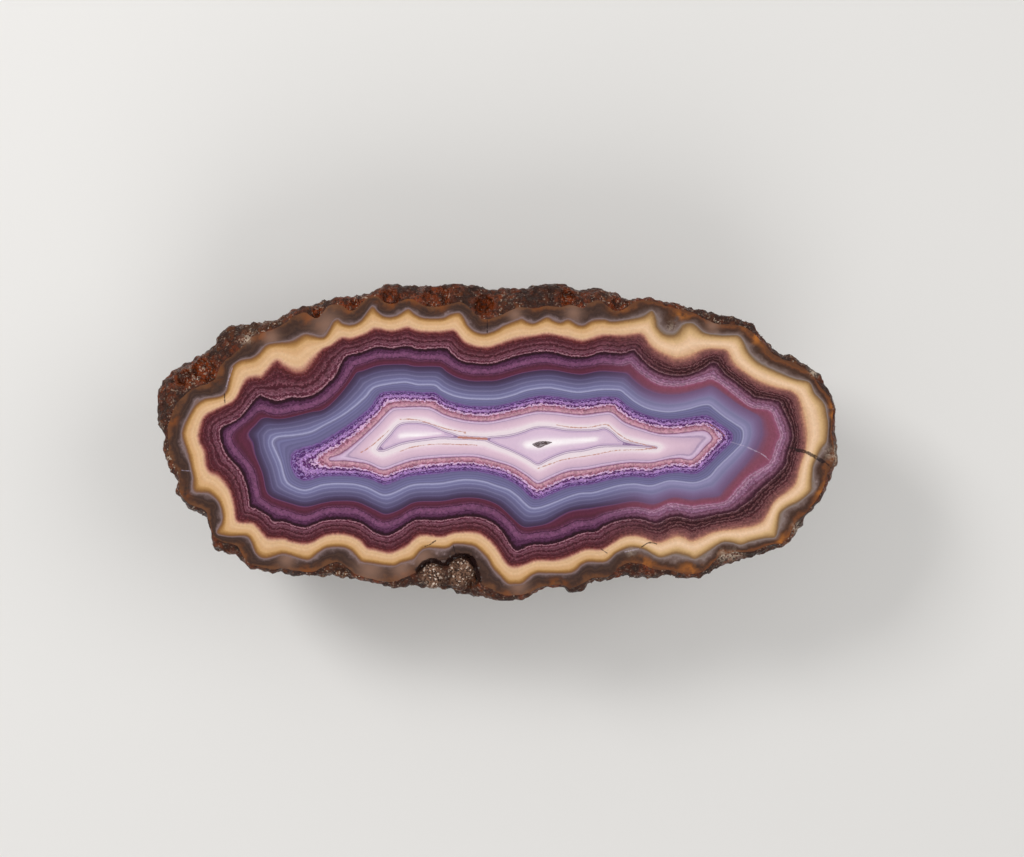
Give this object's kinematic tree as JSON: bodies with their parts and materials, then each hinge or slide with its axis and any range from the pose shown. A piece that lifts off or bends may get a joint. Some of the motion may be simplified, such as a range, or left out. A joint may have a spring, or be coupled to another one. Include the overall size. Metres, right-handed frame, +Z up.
{
  "type": "agate nodule half",
  "caption": "Half of a fortification agate nodule: a flat polished face with scalloped bands round a small open pocket, a rough rim, and a knobbly rounded back that it lies on.",
  "frame": {"origin": "on the ground, under the middle of the stone's bounding box", "axes": "+X along the nodule, +Y across it, +Z up, out of the polished face"},
  "size_m": [0.1106, 0.0516, 0.027],
  "materials": {
    "agate": "polished banded chalcedony face, matt iron-stained rind"
  },
  "bodies": {
    "root": {"agate": "agate"}
  },
  "joints": []
}
